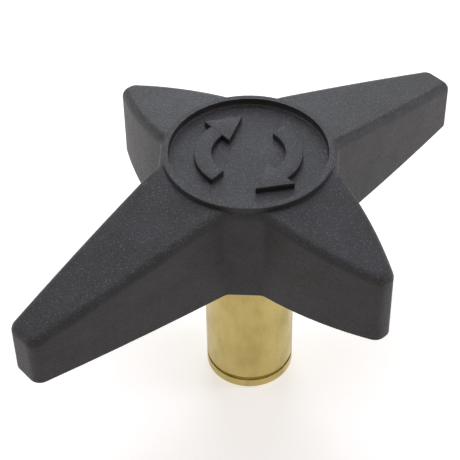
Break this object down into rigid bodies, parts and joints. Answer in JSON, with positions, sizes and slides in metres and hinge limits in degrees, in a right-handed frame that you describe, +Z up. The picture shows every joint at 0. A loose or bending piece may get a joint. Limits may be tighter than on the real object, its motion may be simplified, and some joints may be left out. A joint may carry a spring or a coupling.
{
  "type": "star knob",
  "caption": "Large star knob: black moulded plastic grip with two long and two short arms on a turned brass bushing, tapped from below.",
  "frame": {"origin": "centre of the brass bushing's lower end face", "axes": "+Z up the turning axis towards the top disc, +X along the long arms, +Y along the short arms"},
  "size_m": [0.1514, 0.1036, 0.0819],
  "materials": {
    "grip": "matte",
    "bushing": "satin"
  },
  "bodies": {
    "root": {"star_grip": "grip", "threaded_bushing": "bushing"}
  },
  "joints": []
}
